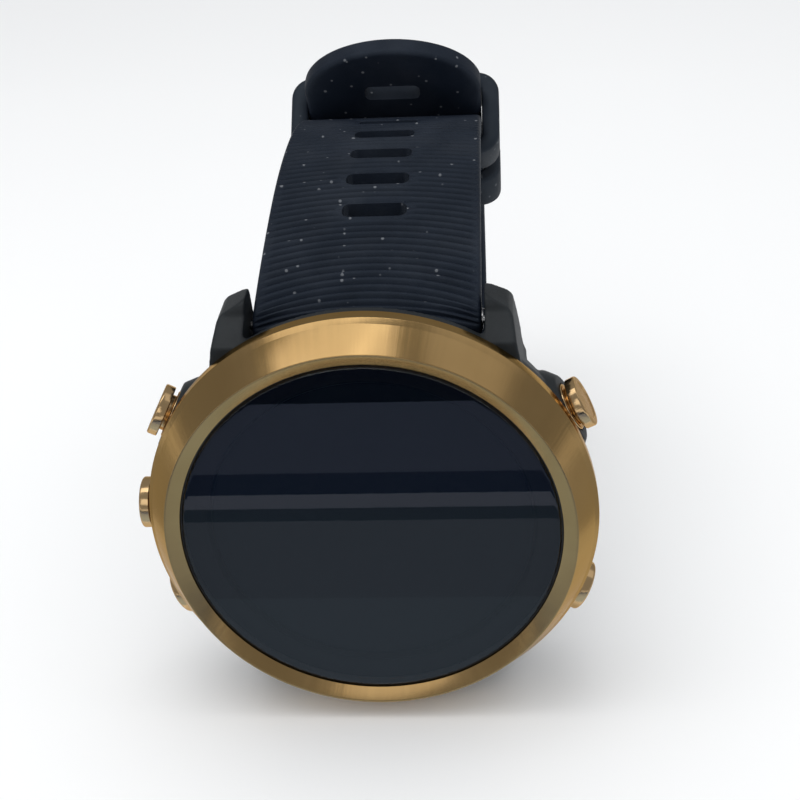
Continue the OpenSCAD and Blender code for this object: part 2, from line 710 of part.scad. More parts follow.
// Pivots on the buckle's pin, passes out through a slot and rests on the frame's bar
module buckle_tongue() {
    under = 33.05 - closure_r;
    over = long_outer_r - closure_r + frame_bar_out + frame_wire_d / 2 + 0.2;
    function at(th, off) = c_closure + (closure_r + off) * normal(th);
    rise = turn(0.5, closure_r);
    color([0.78, 0.6, 0.36]) face_front() {
        difference() {
            union() {
                translate([0, pin_at[0], -pin_at[1]]) rotate([0, 90, 0])
                    translate([0, 0, -tongue_w / 2]) cylinder(r = 1.45, h = tongue_w, $fn = 48);
                across(tongue_w) polygon(up([
                    at(buckle_th + 0.6, under - 0.6), at(tongue_slot_th + rise, under - 0.6),
                    at(tongue_slot_th + rise, over), at(frame_th + 2.2, over),
                    at(frame_th + 2.2, over + tongue_t), at(tongue_slot_th - rise, over + tongue_t),
                    at(tongue_slot_th - rise, under + 0.4),
                    at(buckle_th + 0.6, under + 0.4)
                ]));
            }
            translate([-15, pin_at[0], -pin_at[1]]) rotate([0, 90, 0])
                cylinder(r = buckle_pin_r + fit_gap, h = 30, $fn = 48);
        }
    }
}

mid_case();
bezel();
lens();
lens_gasket();
dial_ring();
display_panel();
display_tray();
antenna_ring();
circuit_board();
processor_shield();
battery();
vibration_motor();
display_flex();
dome_switches();
button_bushings();
button_seals();
back_cover();
case_gasket();
sensor_window();
sensor_board();
sensor_leds();
charging_contacts();
back_screws();
pressure_vent();
button_2h();
button_4h();
button_8h();
button_9h();
button_10h();
clip_2h();
clip_4h();
clip_8h();
clip_9h();
clip_10h();
spring_bar_upper();
spring_bar_lower();
release_pin_upper();
release_pin_lower();
strap_short();
strap_long();
keeper_fixed();
keeper_free();
buckle_pin();
buckle_frame();
buckle_tongue();
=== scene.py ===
import json
import math

import bmesh
import bpy
import numpy as np
from mathutils import Euler, Matrix, Vector


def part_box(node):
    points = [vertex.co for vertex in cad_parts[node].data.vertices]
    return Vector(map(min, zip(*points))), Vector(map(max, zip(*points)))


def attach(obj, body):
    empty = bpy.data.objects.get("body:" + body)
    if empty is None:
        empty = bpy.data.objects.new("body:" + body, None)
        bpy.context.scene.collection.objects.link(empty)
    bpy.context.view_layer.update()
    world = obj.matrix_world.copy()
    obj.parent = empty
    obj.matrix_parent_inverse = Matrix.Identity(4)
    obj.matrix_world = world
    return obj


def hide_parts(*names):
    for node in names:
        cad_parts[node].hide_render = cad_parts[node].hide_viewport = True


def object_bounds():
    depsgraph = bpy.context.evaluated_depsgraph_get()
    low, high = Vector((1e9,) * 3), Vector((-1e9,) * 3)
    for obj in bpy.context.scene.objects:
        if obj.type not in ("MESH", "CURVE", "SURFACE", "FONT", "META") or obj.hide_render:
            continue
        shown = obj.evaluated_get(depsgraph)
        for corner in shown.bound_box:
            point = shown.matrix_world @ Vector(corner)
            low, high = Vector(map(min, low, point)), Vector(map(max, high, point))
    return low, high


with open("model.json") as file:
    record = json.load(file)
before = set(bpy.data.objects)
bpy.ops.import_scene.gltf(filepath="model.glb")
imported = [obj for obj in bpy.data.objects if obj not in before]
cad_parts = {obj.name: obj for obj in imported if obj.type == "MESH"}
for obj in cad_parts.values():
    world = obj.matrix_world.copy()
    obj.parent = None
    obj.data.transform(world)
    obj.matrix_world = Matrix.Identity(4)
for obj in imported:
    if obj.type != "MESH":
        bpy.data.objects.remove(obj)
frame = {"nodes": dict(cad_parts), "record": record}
CAD_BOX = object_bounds()
MM = 0.001


# ---- Sizes taken from the frame ----
def size_of(node):
    """(width, height, depth) of a CAD node's box in millimetres."""
    low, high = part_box(node)
    return (high.x - low.x) / MM, (high.z - low.z) / MM, (high.y - low.y) / MM


BEZEL_R = size_of("bezel")[0] / 2
CREST = -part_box("bezel")[0].y / MM
BEZEL_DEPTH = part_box("bezel")[1].y / MM
LENS_R = size_of("lens")[0] / 2
LENS_T = size_of("lens")[2]
GASKET_R = size_of("lens_gasket")[0] / 2
DISPLAY_R = size_of("display_panel")[0] / 2
RING_R = size_of("dial_ring")[0] / 2
BUTTON_FACE_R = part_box("button_9h")[0].x / -MM
BUTTON_STEM_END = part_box("button_9h")[1].x / -MM
BUTTON_R = size_of("button_9h")[1] / 2
BUTTON_DEPTH = (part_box("button_9h")[0].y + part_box("button_9h")[1].y) / 2 / MM
BAR_Y = (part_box("spring_bar_upper")[0].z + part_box("spring_bar_upper")[1].z) / 2 / MM
BAR_D = (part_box("spring_bar_upper")[0].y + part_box("spring_bar_upper")[1].y) / 2 / MM
BAR_R = size_of("spring_bar_upper")[1] / 2
KEEPER_W = size_of("keeper_free")[0]
FLOOR_Z = CAD_BOX[0].z / MM

# ---- Sizes repeated from the design ----
STRAP_W = 21.4
STRAP_BACK_W = 20.4
STRAP_T = 2.4
STRAP_BACK_D = 66.32
SLEEVE_R = 2.0
SLOT_PITCH = 5.8
SLOT_W = 6.5
SLOT_L = 2.2
UPPER_TH = 69.2
UPPER_ARCS = [(125, 15.5), (65, 16), (36, 12)]
BEND_R = 13
BEND_END = 150
CLOSURE_R = 34
LAYER_GAP = 0.15
BUCKLE_TH = 190
PIN_INSET = 2.1
TONGUE_SLOT_TH = BUCKLE_TH + 9.5
FIRST_SLOT = 14.6
SHORT_SLOTS = 5
LONG_SLOTS = range(-7, 2)  # counted from the slot that holds the tongue
LOWER_BACK_R = 10
PIN_R = 0.75
TIP_L = 15.6
TIP_ROUND = 7
TIP_HALF_W = 10.4
BUTTON_ANGLE = 27.5
BUSHING_R = 2.3
NECK_R = 1.75
STEM_R = 0.8
RELEASE_TRAVEL = 1.2

# ---- Surface detail ----
RIB_PITCH = SLOT_PITCH / 6
RIB_DEPTH = 0.42
RIB_ROWS = 6
RECESS_DEPTH = 0.22
RECESS_REACH = 0.8
STRAP_EDGE_R = 0.5
STRAP_COLUMNS = 34
SLEEVE_SHARE = 0.93  # how much of a sleeve's quarter turn the ribbed mesh follows
BEZEL_SEGMENTS = 256
AXIS_R = 0.001  # radius of the tiny hole that a lathed piece keeps on its axis
WELD_DISTANCE = 1e-7

# ---- Studio ----
CAMERA_LENS = 67.5
CAMERA_PLACE = (13.514, -115.834, 77.727)
CAMERA_TURN = (61.31, 4.34, -1.04)
LIGHTS_AIM = (0, 0, 10)
FLOOR_HALF = 2000
# Height above the floor of the glowing sheets that paint reflections
REFLECTION_SHEET_LIFT = 0.3


# ================= Geometry helpers =================
# Local x to 3 o'clock, local y to 12 o'clock, local z out of the dial
FACE = Matrix(((1, 0, 0, 0), (0, 0, -1, 0), (0, 1, 0, 0), (0, 0, 0, 1)))


def radial(angle):
    """Placement whose local z points outward along a button's axis."""
    turn = Matrix.Rotation(math.radians(angle), 4, "Z")
    lift = Matrix.Translation((0, 0, -BUTTON_DEPTH * MM))
    return FACE @ turn @ lift @ Matrix.Rotation(math.pi / 2, 4, "Y")


def link(obj):
    bpy.context.scene.collection.objects.link(obj)
    return obj


def mesh_of(name, points, faces):
    """Mesh from points in millimetres."""
    mesh = bpy.data.meshes.new(name)
    mesh.from_pydata([tuple(v) for v in np.asarray(points, float) * MM], [], faces)
    return mesh


def clean(mesh, weld=True):
    """Merges doubled points and turns the faces outward."""
    made = bmesh.new()
    made.from_mesh(mesh)
    if weld:
        bmesh.ops.remove_doubles(made, verts=made.verts, dist=WELD_DISTANCE)
    bmesh.ops.recalc_face_normals(made, faces=made.faces)
    made.to_mesh(mesh)
    made.free()


def evaluated_mesh(obj):
    """An object's mesh with its modifiers applied."""
    return bpy.data.meshes.new_from_object(obj.evaluated_get(bpy.context.evaluated_depsgraph_get()))


def mesh_piece(name, verts, faces, material, body, sharp=35, placement=None, replaced=(), slot=None):
    """One finished piece from points in millimetres."""
    mesh = mesh_of(name, verts, faces)
    mesh.validate()
    return mesh_object(name, mesh, material, body, sharp, placement, replaced)


def mesh_object(name, mesh, material, body, sharp=35, placement=None, replaced=()):
    """One finished piece from a mesh in metres. Edges sharper than `sharp` degrees stay sharp."""
    clean(mesh)
    mesh.polygons.foreach_set("use_smooth", [True] * len(mesh.polygons))
    mesh.set_sharp_from_angle(angle=math.radians(sharp))
    obj = link(bpy.data.objects.new(name, mesh))
    obj.data.materials.append(material)
    if placement is not None:
        obj.matrix_world = placement
    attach(obj, body)
    if replaced:
        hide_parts(*replaced)
    return obj


def grid_faces(rows, cols, close_rows=False, close_cols=False):
    """Quads of a rows x cols grid of points."""
    faces = []
    for i in range(rows if close_rows else rows - 1):
        for j in range(cols if close_cols else cols - 1):
            i2 = (i + 1) % rows
            j2 = (j + 1) % cols
            faces.append((i * cols + j, i * cols + j2, i2 * cols + j2, i2 * cols + j))
    return faces


def fillet(points, radii, steps=4):
    """Rounds the corners of a closed outline: one radius per point, 0 for a sharp one."""
    done = []
    count = len(points)
    for i, (p, r) in enumerate(zip(points, radii)):
        p = np.array(p, float)
        a = np.array(points[i - 1], float) - p
        b = np.array(points[(i + 1) % count], float) - p
        la = np.linalg.norm(a)
        lb = np.linalg.norm(b)
        if r <= 0:
            done.append(p)
            continue
        a, b = a / la, b / lb
        half = math.acos(np.clip(a @ b, -1, 1)) / 2
        reach = min(r / math.tan(half), 0.49 * la, 0.49 * lb)
        r = reach * math.tan(half)
        centre = p + (a + b) / np.linalg.norm(a + b) * r / math.sin(half)
        start = p + a * reach - centre
        end = p + b * reach - centre
        turn = math.atan2(start[0] * end[1] - start[1] * end[0], start @ end)
        for k in range(steps + 1):
            t = turn * k / steps
            c, s = math.cos(t), math.sin(t)
            done.append(centre + np.array([start[0] * c - start[1] * s, start[0] * s + start[1] * c]))
    return done


def lathe(name, outline, material, body, placement, segments=96, **kwargs):
    """Revolves a closed outline of (radius, height) points about local z."""
    verts = []
    for k in range(segments):
        t = 2 * math.pi * k / segments
        verts += [(r * math.cos(t), r * math.sin(t), h) for r, h in outline]
    faces = grid_faces(segments, len(outline), close_rows=True, close_cols=True)
    return mesh_piece(name, verts, faces, material, body, placement=placement, **kwargs)


def smooth_step(t):
    """Rises smoothly from 0 to 1 as t goes from 0 to 1."""
    t = np.clip(t, 0, 1)
    return t * t * (3 - 2 * t)


# ================= Materials =================
class Graph:
    """A material's nodes, written as one add() per node."""

    def __init__(self, name):
        self.material = bpy.data.materials.new(name)
        self.material.use_nodes = True
        self.tree = self.material.node_tree
        self.tree.nodes.clear()

    def add(self, kind, inputs=None, **settings):
        node = self.tree.nodes.new("ShaderNode" + kind)
        for key, value in settings.items():
            setattr(node, key, value)
        for key, value in (inputs or {}).items():
            if isinstance(value, bpy.types.NodeSocket):
                self.tree.links.new(value, node.inputs[key])
            else:
                node.inputs[key].default_value = value
        return node

    def coords(self):
        return self.add("TexCoord").outputs["Object"]

    def noise(self, vector, scale, detail=3.0, rough=0.5):
        inputs = {"Vector": vector, "Scale": scale, "Detail": detail, "Roughness": rough}
        return self.add("TexNoise", inputs)

    def ramp(self, value, low, high, start=0.3, end=0.7):
        node = self.add("ValToRGB", {"Fac": value})
        node.color_ramp.elements[0].position = start
        node.color_ramp.elements[0].color = (*low, 1)
        node.color_ramp.elements[1].position = end
        node.color_ramp.elements[1].color = (*high, 1)
        return node.outputs["Color"]

    def range(self, value, low, high, start=0.3, end=0.7):
        inputs = {"Value": value, "From Min": start, "From Max": end, "To Min": low, "To Max": high}
        return self.add("MapRange", inputs).outputs["Result"]

    def math(self, operation, a, b=0.0, clamp=False):
        return self.add("Math", {0: a, 1: b}, operation=operation, use_clamp=clamp).outputs[0]

    def blend_colours(self, factor, a, b):
        return self.add("Mix", {0: factor, 6: a, 7: b}, data_type="RGBA").outputs[2]

    def bump(self, height, strength, distance):
        inputs = {"Height": height, "Strength": strength, "Distance": distance}
        return self.add("Bump", inputs).outputs["Normal"]

    def surface(self, shader):
        self.add("OutputMaterial", {"Surface": shader})


def speckled(name, dark, light, rough, metallic=0.0, scale=900.0, grain=6000.0, grain_depth=0.01,
             **sockets):
    """Moulded or printed finish: mottled colour, uneven gloss and a fine grain."""
    g = Graph(name)
    at = g.coords()
    mottle = g.noise(at, scale).outputs["Fac"]
    fine = g.noise(at, grain, 2.0).outputs["Fac"]
    inputs = {
        "Base Color": g.ramp(mottle, dark, light),
        "Roughness": g.range(fine, rough[0], rough[1]),
        "Metallic": metallic,
        "Normal": g.bump(fine, 0.5, grain_depth * MM),
    }
    inputs.update(sockets)
    g.surface(g.add("BsdfPrincipled", inputs).outputs["BSDF"])
    return g.material


def turned_metal(name, dark, light, rough, grooves, streaks, anisotropic):
    """Metal turned about local z: fine rings, and faint streaks that run out along the radius."""
    g = Graph(name)
    at = g.add("SeparateXYZ", {"Vector": g.coords()})
    x, y, z = at.outputs
    radius = g.math("SQRT", g.math("ADD", g.math("MULTIPLY", x, x), g.math("MULTIPLY", y, y)))
    angle = g.math("ARCTAN2", y, x)
    rings_at = g.add("CombineXYZ", {"X": radius, "Y": z, "Z": 0.0}).outputs[0]
    rings = g.noise(rings_at, grooves, 4.0, 0.7).outputs["Fac"]
    round_at = g.math("MULTIPLY", angle, 0.02)
    out_at = g.math("MULTIPLY", radius, 0.06)
    streak_at = g.add("CombineXYZ", {"X": round_at, "Y": out_at}).outputs[0]
    streak = g.noise(streak_at, streaks, 4.0, 0.55).outputs["Fac"]
    broad = g.noise(g.coords(), 160.0, 2.0).outputs["Fac"]
    tangent = g.add("Tangent", direction_type="RADIAL", axis="Z").outputs[0]
    grooved = g.bump(rings, 0.25, 0.004 * MM)
    streaked = g.add("Bump", {"Height": streak, "Strength": 0.5, "Distance": 0.02 * MM, "Normal": grooved})
    shader = g.add("BsdfPrincipled", {
        "Base Color": g.ramp(broad, dark, light, 0.3, 0.7),
        "Metallic": 1.0,
        "Specular Tint": (0.9, 0.72, 0.5, 1),
        "Roughness": g.range(streak, rough[0], rough[1], 0.3, 0.7),
        "Anisotropic": anisotropic,
        "Tangent": tangent,
        "Normal": streaked.outputs["Normal"],
    })
    g.surface(shader.outputs["BSDF"])
    return g.material


def silicone(name, dark, light, rough, dust):
    """Matt silicone with a fine grain and pale specks of lint."""
    g = Graph(name)
    at = g.coords()
    mottle = g.noise(at, 260.0, 4.0).outputs["Fac"]
    fine = g.noise(at, 9000.0, 2.0).outputs["Fac"]
    base = g.ramp(mottle, dark, light)
    bend = g.noise(at, 700.0, 2.0).outputs["Color"]
    shift = g.add("VectorMath", {0: bend, "Scale": 0.9 * MM}, operation="SCALE").outputs[0]
    curly = g.add("VectorMath", {0: at, 1: shift}, operation="ADD").outputs[0]
    stretch = {"Vector": curly, "Rotation": (0.6, 0.3, 0.9), "Scale": (1.0, 0.22, 1.0)}
    threads_at = g.add("Mapping", stretch).outputs[0]
    # Small specks, larger specks and short threads, as (place, scale, size, share of cells left empty)
    lint = [(at, 900.0, 0.17, 0.66), (at, 420.0, 0.095, 0.6), (threads_at, 380.0, 0.08, 0.5)]
    masks = []
    for where, scale, size, share in lint:
        cells = g.add("TexVoronoi", {"Vector": where, "Scale": scale}, feature="F1")
        speck = g.range(cells.outputs["Distance"], 1.0, 0.0, size * 0.6, size)
        lot = g.add("SeparateColor", {"Color": cells.outputs["Color"]}).outputs[0]
        masks.append(g.math("MULTIPLY", speck, g.math("GREATER_THAN", lot, share)))
    specks = g.math("MAXIMUM", g.math("MAXIMUM", masks[0], masks[1]), masks[2])
    film = g.range(g.noise(at, 120.0, 5.0, 0.6).outputs["Fac"], 0.0, 0.03 * dust, 0.45, 0.75)
    cover = g.math("ADD", g.math("MULTIPLY", specks, 0.4 * dust), film, clamp=True)
    shader = g.add("BsdfPrincipled", {
        "Base Color": g.blend_colours(cover, base, (0.30, 0.31, 0.33, 1)),
        "Roughness": g.range(fine, rough[0], rough[1]),
        "Specular IOR Level": 0.32,
        "Specular Tint": (0.75, 0.88, 1.0, 1),
        "Normal": g.bump(fine, 0.4, 0.008 * MM),
    })
    g.surface(shader.outputs["BSDF"])
    return g.material


def clear_glass(name, tint, ior, smear):
    """Lens glass. Only its outer face mirrors, so no second image comes from its underside."""
    g = Graph(name)
    at = g.coords()
    rough = g.range(g.noise(at, 90.0, 4.0).outputs["Fac"], 0.0, smear)
    gloss = g.add("BsdfGlossy", {"Color": (1, 1, 1, 1), "Roughness": rough})
    through = g.add("BsdfTransparent", {"Color": (*tint, 1)})
    outside = g.math("SUBTRACT", 1.0, g.add("NewGeometry").outputs["Backfacing"])
    share = g.math("MULTIPLY", g.add("Fresnel", {"IOR": ior}).outputs[0], outside)
    mixed = g.add("MixShader", {0: share, 1: through.outputs[0], 2: gloss.outputs[0]})
    g.surface(mixed.outputs[0])
    return g.material


def make_materials():
    """One material for each of the record's slots."""
    gold_dark = (0.41, 0.262, 0.108)
    gold_light = (0.46, 0.30, 0.128)
    return {
        "case_polymer": speckled("case_polymer", (0.008, 0.0105, 0.0125), (0.012, 0.0155, 0.018),
                                 (0.42, 0.54), scale=500.0, grain=7000.0, grain_depth=0.012,
                                 **{"Specular IOR Level": 0.35}),
        "back_polymer": speckled("back_polymer", (0.014, 0.015, 0.018), (0.022, 0.023, 0.027), (0.45, 0.6),
                                 grain_depth=0.02),
        "gold_brushed": turned_metal("gold_brushed", gold_dark, gold_light, (0.17, 0.23),
                                     9000.0, 1500.0, 0.3),
        "gold_polished": turned_metal("gold_polished", (0.6, 0.4, 0.2), (0.7, 0.48, 0.25), (0.12, 0.18),
                                      14000.0, 700.0, 0.2),
        "lens_glass": clear_glass("lens_glass", (0.92, 0.94, 0.96), 1.5, 0.004),
        "mask_print": speckled("mask_print", (0.0012, 0.0014, 0.0018), (0.002, 0.0023, 0.003), (0.6, 0.7),
                               **{"Specular IOR Level": 0.03}),
        "display_glass": speckled("display_glass", (0.0018, 0.0024, 0.003), (0.0022, 0.0028, 0.0036),
                                  (0.5, 0.55), scale=120.0, grain=16000.0, grain_depth=0.0,
                                  **{"Specular IOR Level": 0.03}),
        "inner_plastic": speckled("inner_plastic", (0.12, 0.12, 0.13), (0.18, 0.18, 0.19), (0.5, 0.65)),
        "antenna_metal": speckled("antenna_metal", (0.55, 0.56, 0.58), (0.68, 0.69, 0.7), (0.25, 0.4), 1.0),
        "board": speckled("board", (0.01, 0.06, 0.03), (0.02, 0.1, 0.05), (0.35, 0.5), scale=1500.0),
        "shield_metal": speckled("shield_metal", (0.6, 0.6, 0.61), (0.72, 0.72, 0.73), (0.3, 0.45), 1.0),
        "battery_foil": speckled("battery_foil", (0.42, 0.43, 0.45), (0.6, 0.61, 0.63), (0.28, 0.42), 1.0,
                                 300.0),
        "flex_film": speckled("flex_film", (0.32, 0.12, 0.02), (0.45, 0.18, 0.03), (0.25, 0.35)),
        "seal_rubber": speckled("seal_rubber", (0.01, 0.01, 0.011), (0.016, 0.016, 0.018), (0.6, 0.75)),
        "gasket_rubber": speckled("gasket_rubber", (0.25, 0.03, 0.02), (0.36, 0.05, 0.03), (0.55, 0.7)),
        "sensor_glass": speckled("sensor_glass", (0.004, 0.004, 0.005), (0.009, 0.009, 0.011), (0.06, 0.12),
                                 **{"Coat Weight": 0.6}),
        "led_epoxy": speckled("led_epoxy", (0.1, 0.5, 0.18), (0.2, 0.75, 0.3), (0.15, 0.3)),
        "contact_gold": speckled("contact_gold", (0.7, 0.5, 0.18), (0.85, 0.64, 0.27), (0.18, 0.32), 1.0,
                                 2500.0),
        "steel": speckled("steel", (0.5, 0.5, 0.51), (0.66, 0.66, 0.67), (0.22, 0.36), 1.0),
        "vent_mesh": speckled("vent_mesh", (0.04, 0.04, 0.045), (0.09, 0.09, 0.1), (0.4, 0.6), 0.6, 5000.0),
        "strap_silicone": silicone("strap_silicone", (0.005, 0.008, 0.016), (0.0075, 0.0115, 0.0215),
                                   (0.5, 0.68), 1.0),
        "keeper_silicone": silicone("keeper_silicone", (0.009, 0.0125, 0.019), (0.013, 0.0175, 0.026),
                                    (0.46, 0.6), 0.6),
    }


MATERIALS = make_materials()


def paint_cad_nodes():
    """Every CAD node takes the material of its slot in the record."""
    for part in frame["record"]["subparts"]:
        obj = frame["nodes"][part["node"]]
        obj.data.materials.clear()
        obj.data.materials.append(MATERIALS[part["material_slot"]])


# ================= Dial =================
def build_bezel():
    """Cone outside, rounded crest, and a dish that falls to the lens."""
    crest_r = 19.1
    cone_drop = 2.5
    skirt_r = 18.4
    ring_seat = 2.1
    opening = GASKET_R
    seat_r = RING_R + 0.05
    outline = [
        (opening, 0), (crest_r - 0.02, CREST - 0.02), (crest_r + 0.12, CREST),
        (BEZEL_R - 0.42, -cone_drop + 0.4), (BEZEL_R, -cone_drop - 0.12), (BEZEL_R, -BEZEL_DEPTH + 0.1),
        (BEZEL_R - 0.25, -BEZEL_DEPTH), (skirt_r, -BEZEL_DEPTH), (skirt_r, -ring_seat),
        (seat_r, -ring_seat), (seat_r, -LENS_T), (opening, -LENS_T),
    ]
    radii = [0.04, 0.3, 0.25, 0.3, 0.25, 0.1, 0.1, 0, 0, 0, 0, 0]
    lathe("bezel_turned", fillet(outline, radii, 5), MATERIALS["gold_brushed"], "case", FACE,
          BEZEL_SEGMENTS, replaced=("bezel",), slot="gold_brushed")


def build_lens():
    """Flat glass with a polished edge, and the gasket's lip around it."""
    edge = 0.2
    # The extra ring of points at `flat` keeps the face's shading flat up to the edge
    flat = LENS_R - edge - 0.25
    outline = [
        (AXIS_R, 0), (flat, 0), (LENS_R - edge, 0), (LENS_R, -edge), (LENS_R, -LENS_T), (flat, -LENS_T),
        (AXIS_R, -LENS_T),
    ]
    lathe("lens_polished", fillet(outline, [0, 0, 0.15, 0.15, 0.03, 0, 0]), MATERIALS["lens_glass"], "case",
          FACE, BEZEL_SEGMENTS, replaced=("lens",), slot="lens_glass")
    lip = -0.3
    rim = [(GASKET_R, -LENS_T), (GASKET_R, lip), (LENS_R, lip), (LENS_R, -LENS_T)]
    lathe("lens_gasket_lip", fillet(rim, [0, 0.03, 0.03, 0]), MATERIALS["seal_rubber"], "case", FACE,
          BEZEL_SEGMENTS, replaced=("lens_gasket",), slot="seal_rubber")


def build_dial_ring():
    """Printed black ring around the display, and the black band printed on the lens's underside."""
    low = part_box("dial_ring")[1].y / MM
    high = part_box("dial_ring")[0].y / MM
    inner = DISPLAY_R - 0.2
    outline = [(inner, -low), (RING_R, -low), (RING_R, -high), (inner + 0.25, -high), (inner, -low + 0.15)]
    lathe("dial_ring_printed", fillet(outline, [0, 0.03, 0.03, 0.1, 0.05]), MATERIALS["mask_print"], "case",
          FACE, BEZEL_SEGMENTS, replaced=("dial_ring",), slot="mask_print")
    band_in = inner + 0.4
    band_out = LENS_R - 0.02
    band_low = -LENS_T + 0.01
    band_high = -LENS_T + 0.05
    band = [(band_in, band_low), (band_out, band_low), (band_out, band_high), (band_in, band_high)]
    lathe("lens_mask_band", band, MATERIALS["mask_print"], "case", FACE, BEZEL_SEGMENTS, slot="mask_print")


# ================= Case =================
def rounded_copy(name, node, material, voxel, passes, keep):
    """A CAD node's own mesh with its edges softened, as a moulded part has them."""
    mesh = frame["nodes"][node].data.copy()
    work = link(bpy.data.objects.new(name + "_work", mesh))
    weld = work.modifiers.new("weld", "WELD")
    weld.merge_threshold = 1e-6
    remesh = work.modifiers.new("remesh", "REMESH")
    remesh.mode = "VOXEL"
    remesh.voxel_size = voxel * MM
    smooth = work.modifiers.new("smooth", "SMOOTH")
    smooth.factor = 0.5
    smooth.iterations = passes
    thin = work.modifiers.new("thin", "DECIMATE")
    thin.ratio = keep
    made = evaluated_mesh(work)
    bpy.data.objects.remove(work)
    made.materials.clear()
    return mesh_object(name, made, material, "case", sharp=60, replaced=(node,))


def build_case():
    rounded_copy("mid_case_moulded", "mid_case", MATERIALS["case_polymer"],
                 voxel=0.16, passes=6, keep=0.3)


def soften_edges(node, width, segments=2):
    """Rounds a CAD node's edges with modifiers, and leaves its mesh as it is."""
    obj = frame["nodes"][node]
    flat = obj.modifiers.new("merge_flats", "DECIMATE")
    flat.decimate_type = "DISSOLVE"
    flat.angle_limit = math.radians(1.0)
    round_off = obj.modifiers.new("round_edges", "BEVEL")
    round_off.width = width * MM
    round_off.segments = segments
    round_off.limit_method = "ANGLE"
    round_off.angle_limit = math.radians(40)


# ================= Buttons =================
def build_button(node, angle):
    """Stem, neck and head, with a shallow dish in the head's face."""
    face = BUTTON_FACE_R
    head = face - 0.97
    neck_foot = 20.3
    dish_r = 1.9
    outline = [
        (AXIS_R, BUTTON_STEM_END), (STEM_R, BUTTON_STEM_END), (STEM_R, neck_foot), (NECK_R, neck_foot),
        (NECK_R, head), (BUTTON_R - 0.02, head), (BUTTON_R, face), (dish_r, face),
        (dish_r - 0.15, face - 0.07), (AXIS_R, face - 0.02),
    ]
    radii = [0, 0.1, 0.05, 0.08, 0.05, 0.08, 0.2, 0.03, 0.05, 0]
    lathe(node + "_turned", fillet(outline, radii), MATERIALS["gold_polished"], node, radial(angle),
          96, replaced=(node,), slot="gold_polished")


def build_buttons():
    angles = {
        "button_2h": BUTTON_ANGLE, "button_4h": -BUTTON_ANGLE, "button_8h": 180 + BUTTON_ANGLE,
        "button_9h": 180, "button_10h": 180 - BUTTON_ANGLE,
    }
    bore_r = NECK_R + 0.05
    seat = 19.6
    collar = 21.36
    outline = [(bore_r, seat), (BUSHING_R, seat), (BUSHING_R, collar), (bore_r, collar)]
    for k, (node, angle) in enumerate(angles.items()):
        build_button(node, angle)
        # All five bushings are one CAD node, and the first one stands for it
        replaced = () if k else ("button_bushings",)
        lathe(node.replace("button", "bushing") + "_turned", fillet(outline, [0, 0, 0.15, 0.1]),
              MATERIALS["gold_polished"], "case", radial(angle), 64, replaced=replaced,
              slot="gold_polished")


# ================= Strap =================
def normal(th):
    """Outward normal of the strap's outer face as (y, d), for directions th in degrees."""
    th = np.radians(th)
    return np.stack([np.sin(th), -np.cos(th)], axis=-1)


def along(th):
    """Direction along the strap as (y, d)."""
    th = np.radians(th)
    return np.stack([np.cos(th), np.sin(th)], axis=-1)


class Path:
    """Outer face of a strap half in (y, d): arcs and a straight, by the length from its first point."""

    def __init__(self):
        self.spans = []
        self.length = 0.0

    def arc(self, centre, radius, th0, th1):
        span = radius * math.radians(th1 - th0)
        self.spans.append((self.length, np.array(centre, float), radius, th0))
        self.length += span

    def straight(self, start, th, span):
        self.spans.append((self.length, np.array(start, float), None, th))
        self.length += span

    def at(self, s):
        """(points, directions) at lengths s. Beyond either end the last arc goes on."""
        s = np.asarray(s, float)
        points = np.zeros(s.shape + (2,))
        ths = np.zeros(s.shape)
        for k, (s0, base, radius, th0) in enumerate(self.spans):
            here = (s >= s0) if k else np.ones(s.shape, bool)
            ds = s - s0
            if radius is None:
                th = np.full(s.shape, th0, float)
                where = base + ds[..., None] * along(th)
            else:
                th = th0 + np.degrees(ds / radius)
                where = base + radius * normal(th)
            points[here] = where[here]
            ths[here] = th[here]
        return points, ths


